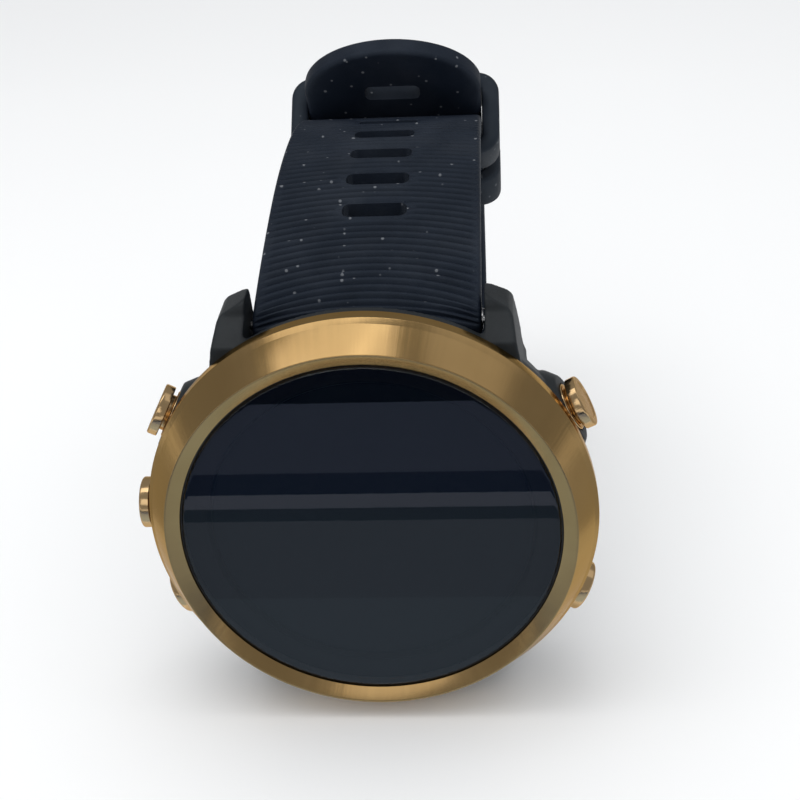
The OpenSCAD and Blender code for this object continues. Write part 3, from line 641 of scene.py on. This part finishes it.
def strap_layout():
    """The loop's centres, worked out as in the design."""
    lay = {}
    bar_up = np.array([BAR_Y, BAR_D])
    foot = bar_up + SLEEVE_R * normal(UPPER_TH)
    th = UPPER_TH
    centre = foot - UPPER_ARCS[0][0] * normal(th)
    short = Path()
    short.arc(bar_up, SLEEVE_R, th - 90, th)
    for k, (radius, length) in enumerate(UPPER_ARCS):
        if k:
            centre = centre + (UPPER_ARCS[k - 1][0] - radius) * normal(th)
        th_next = th + math.degrees(length / radius)
        short.arc(centre, radius, th, th_next)
        th = th_next
    lay["c_bend"] = centre + (UPPER_ARCS[-1][0] - BEND_R) * normal(th)
    short.arc(lay["c_bend"], BEND_R, th, BEND_END)
    lay["c_closure"] = lay["c_bend"] + (BEND_R - CLOSURE_R) * normal(BEND_END)
    short.arc(lay["c_closure"], CLOSURE_R, BEND_END, BUCKLE_TH)
    lay["pin"] = lay["c_closure"] + (CLOSURE_R - PIN_INSET) * normal(BUCKLE_TH)
    short.arc(lay["pin"], PIN_INSET, BUCKLE_TH, BUCKLE_TH + 90)

    inner_r = CLOSURE_R + LAYER_GAP
    outer_r = inner_r + STRAP_T
    c_low_y = LOWER_BACK_R + FLOOR_Z
    c_closure = lay["c_closure"]
    reach = math.sqrt((outer_r - LOWER_BACK_R) ** 2 - (c_closure[0] - c_low_y) ** 2)
    c_low = np.array([c_low_y, c_closure[1] + reach])
    n = (c_low - c_closure) / np.linalg.norm(c_low - c_closure)
    th_join = math.degrees(math.atan2(n[0], -n[1])) + 360
    bar_low = np.array([-BAR_Y, BAR_D])
    rise = -FLOOR_Z - BAR_Y
    under_r = ((c_low[1] - BAR_D) ** 2 + rise**2 - SLEEVE_R**2) / (2 * (rise - SLEEVE_R))
    c_under = np.array([under_r + FLOOR_Z, c_low[1]])
    n = (bar_low - c_under) / np.linalg.norm(bar_low - c_under)
    th_under = math.degrees(math.atan2(n[0], -n[1])) + 360
    long_half = Path()
    tip_root = c_closure + outer_r * normal(BEND_END)
    long_half.straight(tip_root - TIP_L * along(BEND_END), BEND_END, TIP_L)
    long_half.arc(c_closure, outer_r, BEND_END, th_join)
    long_half.arc(c_low, LOWER_BACK_R, th_join, 270)
    long_half.arc(c_under, under_r, 270, th_under)
    lay["long_end"] = long_half.length
    lay["tongue_slot"] = TIP_L + outer_r * math.radians(TONGUE_SLOT_TH - BEND_END)
    long_half.arc(bar_low, SLEEVE_R, th_under, th_under + 90)
    lay.update(short=short, long=long_half, bar_up=bar_up, bar_low=bar_low)
    return lay


LAY = strap_layout()
SLEEVE_LEN = SLEEVE_R * math.pi / 2
PIN_LEN = PIN_INSET * math.pi / 2
DIAL_TO_FOOT = BAR_Y + SLEEVE_R * math.sin(math.radians(UPPER_TH))


def half_width(d):
    """Half of the strap's width at depth d."""
    share = np.clip((d - BAR_D) / (STRAP_BACK_D - BAR_D), 0, 1)
    return (STRAP_W + (STRAP_BACK_W - STRAP_W) * share) / 2


def edge_round(distance, radius):
    """Depth of a rounded edge's surface at a distance from the side."""
    inside = np.clip(radius - distance, 0, radius)
    return radius - np.sqrt(np.maximum(radius**2 - inside**2, 0))


def columns(inner_count):
    """Positions across a strap from -1 to 1, closer at the rounded edges."""
    edge = STRAP_EDGE_R / (STRAP_W / 2)
    turn = np.radians([0, 22.5, 45, 67.5, 90])
    side = 1 - edge * (1 - np.cos(turn))
    middle = np.linspace(-(1 - edge), 1 - edge, inner_count + 2)[1:-1]
    return np.concatenate([-side, middle, side[::-1]])


def slot_distance(x, s, centre):
    """Distance outside a slot's rounded outline, negative inside."""
    corner = 0.8
    qx = np.abs(x) - (SLOT_W / 2 - corner)
    qs = np.abs(s - centre) - (SLOT_L / 2 - corner)
    outside = np.hypot(np.maximum(qx, 0), np.maximum(qs, 0))
    return outside + np.minimum(np.maximum(qx, qs), 0) - corner


def strap_surface(path, s, x, thickness, distance, slots, rib_phase, rib_weight):
    """Outer and inner face points of a strap half as (x, y, d)."""
    points, th = path.at(s)
    n = normal(th)
    near = np.min([slot_distance(x, s, c) for c in slots], axis=0)
    rib = np.abs(np.sin(math.pi * rib_phase))
    weight = rib_weight * smooth_step((distance - 0.15) / 0.6) * smooth_step((near - 0.1) / 0.55)
    groove = RIB_DEPTH * weight * (1 - rib)
    recess = RECESS_DEPTH * (1 - smooth_step(near / RECESS_REACH))
    rounding = edge_round(distance, STRAP_EDGE_R)
    outer = points - (rounding + groove + recess)[..., None] * n
    inner = points - (thickness - rounding)[..., None] * n
    outer = np.concatenate([x[..., None], outer], axis=-1)
    inner = np.concatenate([x[..., None], inner], axis=-1)
    return outer, inner


def strap_mesh(name, outer, inner):
    """Closed mesh from two grids of (x, y, d) points."""
    rows, cols = outer.shape[:2]
    ring = np.concatenate([outer, inner[:, ::-1]], axis=1)
    verts = ring.reshape(-1, 3)[:, [0, 2, 1]]
    faces = grid_faces(rows, 2 * cols, close_cols=True)
    for i in (0, rows - 1):
        for j in range(cols - 1):
            base = i * 2 * cols
            faces.append((base + j, base + j + 1, base + 2 * cols - 2 - j, base + 2 * cols - 1 - j))
    mesh = mesh_of(name, verts, faces)
    mesh.validate()
    return mesh


def box_at(centre, axes, size, corner=0.0, steps=6):
    """Vertices and faces of a bar with rounded corners: axes are its three directions in (x, y, d)."""
    a, b, c = size[0] / 2, size[1] / 2, size[2] / 2
    outline = fillet([(-a, -c), (a, -c), (a, c), (-a, c)], [corner] * 4, steps)
    verts = []
    for level in (-b, b):
        for p in outline:
            verts.append(np.array(centre) + p[0] * axes[0] + level * axes[1] + p[1] * axes[2])
    count = len(outline)
    faces = [tuple(range(count))[::-1], tuple(range(count, 2 * count))]
    faces += [(i, (i + 1) % count, count + (i + 1) % count, count + i) for i in range(count)]
    return verts, faces


def rod_at(centre, radius, half_length, segments=32):
    """Vertices and faces of a rod along x."""
    verts = []
    for x in (-half_length, half_length):
        for k in range(segments):
            t = 2 * math.pi * k / segments
            verts.append(np.array([x, centre[0] + radius * math.cos(t), centre[1] + radius * math.sin(t)]))
    faces = [tuple(range(segments))[::-1], tuple(range(segments, 2 * segments))]
    faces += [(i, (i + 1) % segments, segments + (i + 1) % segments, segments + i) for i in range(segments)]
    return verts, faces


def cutter_object(name, shapes):
    """One object that holds all the closed shapes a piece is cut with."""
    verts, faces = [], []
    for shape_verts, shape_faces in shapes:
        base = len(verts)
        verts += [(v[0], v[2], v[1]) for v in shape_verts]
        faces += [tuple(base + i for i in f) for f in shape_faces]
    mesh = mesh_of(name, verts, faces)
    clean(mesh, weld=False)
    return link(bpy.data.objects.new(name, mesh))


def cut_mesh(mesh, shapes):
    """The mesh with each group of shapes cut out of it."""
    work = link(bpy.data.objects.new("cut_work", mesh))
    clean(mesh)
    cutters = []
    for k, group in enumerate(shapes):
        cutter = cutter_object(f"cutter_{k}", group)
        cut = work.modifiers.new(f"cut_{k}", "BOOLEAN")
        cut.operation = "DIFFERENCE"
        cut.solver = "MANIFOLD"
        cut.object = cutter
        cutters.append(cutter)
    result = evaluated_mesh(work)
    for obj in [work, *cutters]:
        bpy.data.objects.remove(obj)
    result.materials.clear()
    return result


X_AXIS = np.array([1.0, 0, 0])
BORE_HALF = 15  # longer than half the strap's width
FAR = 99  # farther than any edge


def slot_cutters(path, slots):
    """A rounded bar through the strap at each slot."""
    shapes = []
    for s in slots:
        p, th = path.at(np.array([s]))
        n = normal(th)[0]
        t = along(th)[0]
        axes = (X_AXIS, np.array([0, *n]), np.array([0, *t]))
        shapes.append(box_at((0, *p[0]), axes, (SLOT_W, 3 * STRAP_T, SLOT_L), 0.8))
    return shapes


def lever_recess(bar, side):
    """Opening on the wrist side that uncovers the quick-release lever."""
    low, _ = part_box("release_pin_upper" if side > 0 else "release_pin_lower")
    lever_x = low.x / MM + 4.4
    depth = 3.8
    size = (RELEASE_TRAVEL + 1.6, depth, 1.4)
    axes = (X_AXIS, np.array([0, 0, 1.0]), np.array([0, 1.0, 0]))
    return box_at((lever_x + RELEASE_TRAVEL / 2, bar[0], bar[1] + depth / 2), axes, size, 0.3)


def concentric(f, x, start):
    """Length along the strap of a rib's line at x, for a rib that meets the middle at length f."""
    bend = np.clip((f + SLEEVE_LEN) / (SLEEVE_LEN + 2.5), 0, 1)
    reach = f + start
    return f + bend * (np.sqrt(np.maximum(reach**2 - x**2, 1)) - reach)


def thickness_near(distance, sleeve_r):
    """Strap thickness at a length from the tangent point of a sleeve."""
    return STRAP_T + (2 * sleeve_r - STRAP_T) * (1 - smooth_step(distance / 2.6))


def rib_rows(start, end):
    """Lengths of the mesh's rows, RIB_ROWS of them to a rib."""
    step = RIB_PITCH / RIB_ROWS
    first = math.ceil(start / step)
    last = math.floor(end / step)
    inner = np.arange(first, last + 1) * step
    return np.concatenate([[start], inner[(inner > start + 0.02) & (inner < end - 0.02)], [end]])


def build_strap_short():
    """The half from 12 o'clock to the buckle. f is the length from the sleeve at the strap's middle."""
    path = LAY["short"]
    body = path.length - SLEEVE_LEN - PIN_LEN
    f = rib_rows(-SLEEVE_SHARE * SLEEVE_LEN, body + SLEEVE_SHARE * PIN_LEN)[:, None]
    u = columns(STRAP_COLUMNS)[None, :]
    mid, _ = path.at(f[:, 0] + SLEEVE_LEN)
    half = half_width(mid[:, 1])[:, None]
    x = u * half
    curved_until = 38
    fade = 1 - smooth_step((f - curved_until) / 14)
    length = f + fade * (concentric(f, x, DIAL_TO_FOOT) - f)
    s = length + SLEEVE_LEN
    thick = np.maximum(thickness_near(np.maximum(length, 0), SLEEVE_R),
                       thickness_near(np.maximum(body - length, 0), PIN_INSET))
    slots = [SLEEVE_LEN + FIRST_SLOT + SLOT_PITCH * k for k in range(SHORT_SLOTS)]
    weight = smooth_step((f + 1.2) / 1.2) * (1 - smooth_step((f - body + 2.5) / 1.5))
    phase = (f - FIRST_SLOT) / RIB_PITCH + 0.5
    outer, inner = strap_surface(path, s, x, thick, half - np.abs(x), slots, phase, weight)
    mesh = strap_mesh("strap_short_ribbed", outer, inner)
    openings = slot_cutters(path, slots)
    bores = [rod_at(LAY["bar_up"], BAR_R, BORE_HALF), rod_at(LAY["pin"], PIN_R, BORE_HALF)]
    tongue_axes = (X_AXIS, np.array([0, *normal(BUCKLE_TH)]), np.array([0, *along(BUCKLE_TH)]))
    tongue_gap = box_at((0, *LAY["pin"]), tongue_axes, (3.0, 8, 6.4), 0.5)
    mesh = cut_mesh(mesh, [openings, bores, [tongue_gap, lever_recess(LAY["bar_up"], 1)]])
    mesh_object("strap_short_ribbed", mesh, MATERIALS["strap_silicone"], "case", 38,
                replaced=("strap_short",))


def build_strap_long():
    """The half from 6 o'clock to the free tip. f is the length from the sleeve at the strap's middle."""
    path = LAY["long"]
    body = LAY["long_end"]
    tip_rows = TIP_ROUND * (1 - np.cos(np.radians(np.arange(1.2, 90, 3.2))))
    f = rib_rows(-SLEEVE_SHARE * SLEEVE_LEN, body - TIP_ROUND)
    f = np.concatenate([f, body - tip_rows[::-1]])[:, None]
    u = columns(STRAP_COLUMNS)[None, :]
    s_mid = np.maximum(body - f[:, 0], 0.0)
    mid, _ = path.at(s_mid)
    half = half_width(mid[:, 1])
    from_end = body - f[:, 0]
    tip_share = np.clip(1 - from_end / TIP_ROUND, 0, 1)
    tip_half = TIP_HALF_W * np.sqrt(np.maximum(1 - tip_share**2, 0))
    half = np.minimum(half, tip_half)[:, None]
    tip_share = tip_share[:, None]
    in_tip = tip_share > 0
    x = u * half
    curved_until = body - 30
    fade = 1 - smooth_step((f - curved_until) / 15)
    length = f + fade * (concentric(f, x, DIAL_TO_FOOT) - f)
    s = body - length
    # Distance from the tip's elliptical outline: q is 1 on the outline and 0 at the ellipse's centre
    q = np.sqrt((x / TIP_HALF_W) ** 2 + tip_share**2)
    slope = np.sqrt((x / TIP_HALF_W**2) ** 2 + (tip_share / TIP_ROUND) ** 2) / np.maximum(q, 1e-6)
    to_tip = np.where(in_tip, (1 - q) / np.maximum(slope, 1e-6), FAR)
    to_side = half - np.abs(x) + in_tip * FAR
    distance = np.clip(np.minimum(to_side, to_tip), 0, None)
    thick = thickness_near(np.maximum(length, 0), SLEEVE_R)
    slots = [LAY["tongue_slot"] + SLOT_PITCH * k for k in LONG_SLOTS]
    weight = smooth_step((f + 1.2) / 1.2) * (1 - smooth_step((f - body + 13) / 4))
    phase = (body - f - slots[0]) / RIB_PITCH + 0.5
    outer, inner = strap_surface(path, s, x, thick, distance, slots, phase, weight)
    mesh = strap_mesh("strap_long_ribbed", outer, inner)
    openings = slot_cutters(path, slots)
    bores = [rod_at(LAY["bar_low"], BAR_R, BORE_HALF)]
    mesh = cut_mesh(mesh, [openings, bores, [lever_recess(LAY["bar_low"], -1)]])
    mesh_object("strap_long_ribbed", mesh, MATERIALS["strap_silicone"], "case", 38,
                replaced=("strap_long",))


# ================= Keepers =================
def rounded_rect(half_w, y0, y1, corner, steps=8):
    """Rectangle 2 * half_w wide, from y0 to y1, with rounded corners."""
    pts = [(half_w, y0), (half_w, y1), (-half_w, y1), (-half_w, y0)]
    return np.array(fillet(pts, [corner] * 4, steps))


def build_keeper(name, node, body, centre, radius, th, length, inner, outer):
    """Silicone ring around both strap halves, with rounded edges."""
    side_gap = 0.15
    wall = (KEEPER_W - STRAP_BACK_W) / 2 - side_gap
    inner_wall = 1.5
    outer_wall = 1.7
    corner = 2.6
    bore_corner = 0.9
    edge = 0.55
    bore_edge = 0.25
    half = length / 2
    n = normal(th)
    t = along(th)
    base = centre + radius * n
    rounding = []
    for a in np.radians([0, 30, 60, 90]):
        rounding.append((-half + edge * (1 - math.cos(a)), edge * (1 - math.sin(a))))
    loops = []
    for z, inset in rounding + [(-z, inset) for z, inset in reversed(rounding)]:
        loop = rounded_rect(KEEPER_W / 2 - inset, inner - inner_wall + inset, outer + outer_wall - inset,
                            corner - inset)
        loops.append((loop, z))
    bore = [(half, bore_edge), (half - bore_edge, 0), (-half + bore_edge, 0), (-half, bore_edge)]
    for z, inset in bore:
        loop = rounded_rect(KEEPER_W / 2 - wall + inset, inner - inset, outer + inset, bore_corner)
        loops.append((loop, z))
    verts = []
    for loop, z in loops:
        for x, h in loop:
            yd = base + h * n + z * t
            verts.append((x, yd[1], yd[0]))
    faces = grid_faces(len(loops), len(loops[0][0]), close_rows=True, close_cols=True)
    mesh_piece(name, verts, faces, MATERIALS["keeper_silicone"], body, sharp=50, replaced=(node,),
               slot="keeper_silicone")


def build_keepers():
    free_th = 136
    fixed_th = 158.5
    build_keeper("keeper_free_ring", "keeper_free", "keeper_free", LAY["c_bend"], BEND_R, free_th,
                 5.0, -STRAP_T - 0.55, 4.5)
    build_keeper("keeper_fixed_ring", "keeper_fixed", "case", LAY["c_closure"], CLOSURE_R, fixed_th,
                 4.5, -STRAP_T - 0.1, STRAP_T + LAYER_GAP + 0.35)


# ================= Studio =================
def build_camera():
    data = bpy.data.cameras.new("camera")
    data.lens = CAMERA_LENS
    data.sensor_width = 36
    data.clip_start = 0.005
    camera = link(bpy.data.objects.new("camera", data))
    camera.location = Vector(CAMERA_PLACE) * MM
    camera.rotation_mode = "ZYX"
    camera.rotation_euler = Euler([math.radians(a) for a in CAMERA_TURN], "ZYX")
    bpy.context.scene.camera = camera


def studio_sheet(name, x_range, y_range, z, material):
    """Flat rectangle that belongs to the studio, not to the watch."""
    corners = [(x_range[0], y_range[0], z), (x_range[1], y_range[0], z), (x_range[1], y_range[1], z),
               (x_range[0], y_range[1], z)]
    mesh = mesh_of(name, corners, [(0, 1, 2, 3)])
    mesh.materials.append(material)
    sheet = link(bpy.data.objects.new(name, mesh))
    return sheet


def build_floor():
    g = Graph("studio_floor")
    cloud = g.noise(g.coords(), 3.0, 3.0).outputs["Fac"]
    inputs = {"Base Color": g.ramp(cloud, (0.9, 0.9, 0.9), (0.93, 0.93, 0.93)), "Roughness": 0.9}
    inputs["Specular IOR Level"] = 0.1
    g.surface(g.add("BsdfPrincipled", inputs).outputs["BSDF"])
    reach = (-FLOOR_HALF, FLOOR_HALF)
    studio_sheet("studio_floor", reach, reach, FLOOR_Z, g.material)


def build_painted_reflection_sheet(name, x_range, y_range, colour):
    """Glowing sheet just above the floor that paints a reflection. Only mirror-like surfaces see it, and it
    lights no matt surface.
    """
    g = Graph(name)
    g.surface(g.add("Emission", {"Color": (*colour, 1), "Strength": 1.0}).outputs[0])
    g.material.cycles.emission_sampling = "NONE"
    painted_reflection_glow = studio_sheet(name, x_range, y_range, FLOOR_Z + REFLECTION_SHEET_LIFT, g.material)
    painted_reflection_glow.visible_camera = False
    painted_reflection_glow.visible_diffuse = False
    painted_reflection_glow.visible_shadow = False
    painted_reflection_glow.visible_transmission = False


def build_painted_reflections():
    """Painted reflections: bands in front of the dial that the lens mirrors, and sheets beside the watch
    that the bezel's sides mirror.
    """
    near = -3.0
    painted_reflection_bands = [
        # Far edge and colour of each painted reflection band, from the dial outward
        (-19.0, (0.46, 0.58, 0.72)), (-34.6, (0.41, 0.50, 0.63)), (-37.4, (0.16, 0.24, 0.34)),
        (-40.6, (0.60, 0.68, 0.88)), (-45.6, (0.07, 0.12, 0.25)), (-64.0, (0.28, 0.35, 0.54)),
        (-130.0, (0.004, 0.02, 0.06)),
    ]
    for k, (far, colour) in enumerate(painted_reflection_bands):
        build_painted_reflection_sheet(f"flag_{k}", (-160, 160), (near, far), colour)
        near = far
    # Painted reflections beside the watch for the bezel's sides: paler near, darker far
    beside = (-2, 220)
    for side, name in ((-1, "left"), (1, "right")):
        build_painted_reflection_sheet(f"painted_side_reflection_{name}_near", (side * 22, side * 50), beside, (0.72, 0.74, 0.76))
        build_painted_reflection_sheet(f"painted_side_reflection_{name}_far", (side * 50, side * 240), beside, (0.43, 0.44, 0.45))


def area_light(name, place, size, radiance, mirrored=True):
    """Softbox with a given radiance: its power follows from its size."""
    data = bpy.data.lights.new(name, "AREA")
    data.shape = "RECTANGLE"
    data.size = size[0] * MM
    data.size_y = size[1] * MM
    data.energy = radiance * math.pi * data.size * data.size_y
    light = link(bpy.data.objects.new(name, data))
    light.location = Vector(place) * MM
    aim = Vector(LIGHTS_AIM) * MM
    light.rotation_mode = "QUATERNION"
    light.rotation_quaternion = (light.location - aim).to_track_quat("Z", "Y")
    light.visible_camera = False
    light.visible_glossy = mirrored


def build_lights():
    area_light("softbox_top_left", (-76, -10, 275), (104, 260), 1.35)
    area_light("fill_overhead", (-60, 0, 420), (420, 420), 0.9, mirrored=False)
    area_light("softbox_top_right", (240, 40, 300), (260, 260), 0.35)
    area_light("softbox_front", (-60, -330, 200), (240, 160), 0.9)
    area_light("strip_window", (18, 20, 320), (26, 240), 0.8)


def background(tree, colour, strength):
    node = tree.nodes.new("ShaderNodeBackground")
    node.inputs["Color"].default_value = (*colour, 1)
    node.inputs["Strength"].default_value = strength
    return node.outputs[0]


def build_world():
    """Even pale room light, dimmer where a glossy surface mirrors it."""
    world = bpy.data.worlds.new("studio")
    bpy.context.scene.world = world
    world.use_nodes = True
    tree = world.node_tree
    tree.nodes.clear()
    path = tree.nodes.new("ShaderNodeLightPath")
    mix = tree.nodes.new("ShaderNodeMixShader")
    out = tree.nodes.new("ShaderNodeOutputWorld")
    tree.links.new(path.outputs["Is Glossy Ray"], mix.inputs[0])
    tree.links.new(background(tree, (0.97, 0.985, 1.0), 0.8), mix.inputs[1])
    tree.links.new(background(tree, (0.95, 0.97, 1.0), 0.3), mix.inputs[2])
    tree.links.new(mix.outputs[0], out.inputs[0])
    bpy.context.scene.view_settings.view_transform = "Standard"


build_camera()
build_world()
build_lights()
build_floor()
build_painted_reflections()
paint_cad_nodes()
build_bezel()
build_lens()
build_dial_ring()
build_case()
build_buttons()
build_strap_short()
build_strap_long()
build_keepers()
for part, width in (("buckle_frame", 0.3), ("buckle_tongue", 0.2), ("back_cover", 0.12)):
    soften_edges(part, width)
